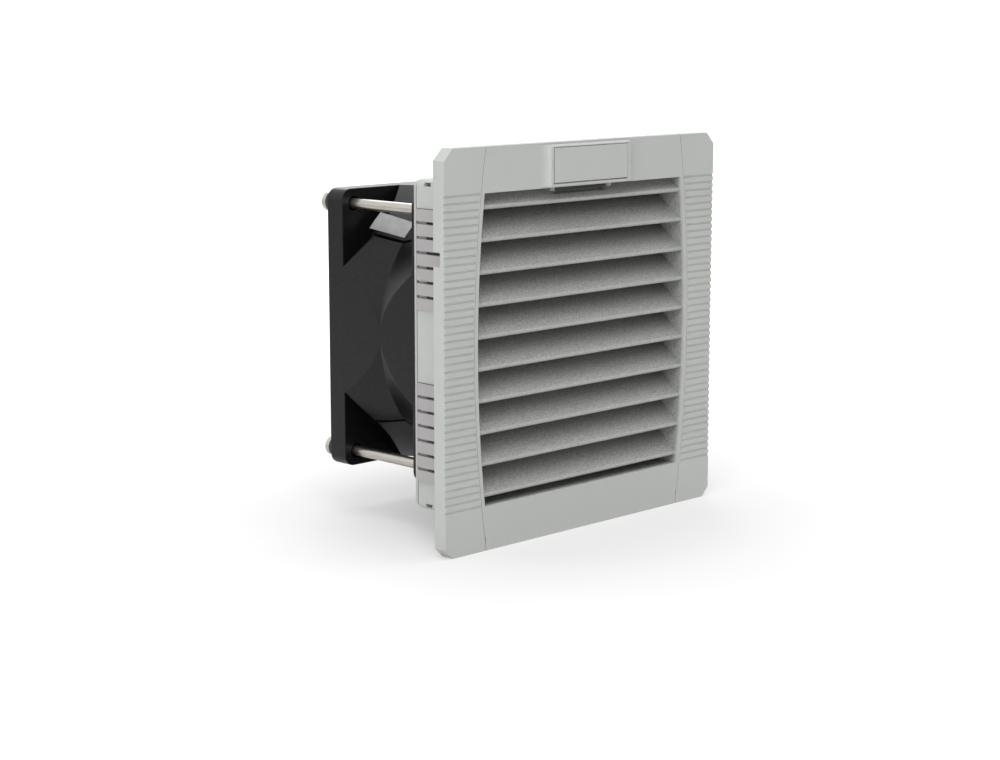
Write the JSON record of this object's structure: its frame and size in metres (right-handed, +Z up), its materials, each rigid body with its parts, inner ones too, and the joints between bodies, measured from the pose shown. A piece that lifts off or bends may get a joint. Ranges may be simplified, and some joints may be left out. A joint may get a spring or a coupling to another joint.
{
  "type": "enclosure filter fan",
  "caption": "Square filter fan for an enclosure wall: hinged louvred cover, filter mat, sprung side clamps and an axial fan on long screws",
  "frame": {"origin": "centre of the square panel cut-out, on the front surface of the panel", "axes": "+X to the right seen from the front, +Y into the enclosure along the air flow, +Z up"},
  "size_m": [0.109, 0.07, 0.109],
  "materials": {
    "housing_plastic": "moulded, fine matt texture",
    "cover_plastic": "moulded, fine matt texture",
    "gasket_foam": "closed-cell foam",
    "filter_fleece": "matt fleece",
    "latch_plastic": "moulded",
    "clamp_plastic": "moulded, satin",
    "plate_plastic": "moulded",
    "fan_frame_black": "black semi-matt coating on a casting",
    "label_film": "satin film",
    "core_steel": "laminated",
    "copper_wire": "enamelled wire",
    "bearing_steel": "ground",
    "spring_steel": "drawn",
    "terminal_tin": "tin plated",
    "impeller_black": "glass-filled, moulded",
    "rotor_steel": "deep drawn",
    "screw_nickel": "nickel plated",
    "collar_black": "moulded"
  },
  "bodies": {
    "housing": {"base_housing": "housing_plastic", "panel_gasket": "gasket_foam", "filter_mat": "filter_fleece", "fan_plate": "plate_plastic", "fan_frame": "fan_frame_black", "fan_label": "label_film", "stator_core": "core_steel", "stator_coils": "copper_wire", "bearing_front": "bearing_steel", "bearing_rear": "bearing_steel", "preload_spring": "spring_steel", "terminal_pins": "terminal_tin", "fan_screws": "screw_nickel", "screw_collars": "collar_black", "captive_nuts": "screw_nickel"},
    "cover": {"louvre_cover": "cover_plastic", "inset_plate": "cover_plastic"},
    "latch": {"latch_tongue": "latch_plastic"},
    "rotor": {"impeller": "impeller_black", "rotor_shell": "rotor_steel", "rotor_shaft": "bearing_steel", "shaft_clip": "spring_steel"},
    "clamp_upper_left": {"clamp_upper_left": "clamp_plastic"},
    "clamp_lower_left": {"clamp_lower_left": "clamp_plastic"},
    "clamp_upper_right": {"clamp_upper_right": "clamp_plastic"},
    "clamp_lower_right": {"clamp_lower_right": "clamp_plastic"}
  },
  "joints": [
    {"name": "cover_hinge", "type": "hinge", "parent": "housing", "child": "cover", "pos_m": [0, -0.0022, -0.0529], "axis": [1, 0, 0], "range_deg": [0, 90]},
    {"name": "latch_press", "type": "hinge", "parent": "cover", "child": "latch", "pos_m": [0, -0.0006, 0.0422], "axis": [-1, 0, 0], "range_deg": [0, 6], "stiffness_Nm_per_rad": 0.1},
    {"name": "fan_spin", "type": "hinge", "parent": "housing", "child": "rotor", "pos_m": [0, 0.04, 0], "axis": [0, 1, 0], "continuous": true},
    {"name": "clamp_upper_left_flex", "type": "hinge", "parent": "housing", "child": "clamp_upper_left", "pos_m": [-0.0444, 0.0147, 0.0237], "axis": [0, 0, 1], "range_deg": [0, 4], "stiffness_Nm_per_rad": 1.5},
    {"name": "clamp_lower_left_flex", "type": "hinge", "parent": "housing", "child": "clamp_lower_left", "pos_m": [-0.0444, 0.0147, -0.0237], "axis": [0, 0, 1], "range_deg": [0, 4], "stiffness_Nm_per_rad": 1.5},
    {"name": "clamp_upper_right_flex", "type": "hinge", "parent": "housing", "child": "clamp_upper_right", "pos_m": [0.0444, 0.0147, 0.0237], "axis": [0, 0, -1], "range_deg": [0, 4], "stiffness_Nm_per_rad": 1.5},
    {"name": "clamp_lower_right_flex", "type": "hinge", "parent": "housing", "child": "clamp_lower_right", "pos_m": [0.0444, 0.0147, -0.0237], "axis": [0, 0, -1], "range_deg": [0, 4], "stiffness_Nm_per_rad": 1.5}
  ]
}
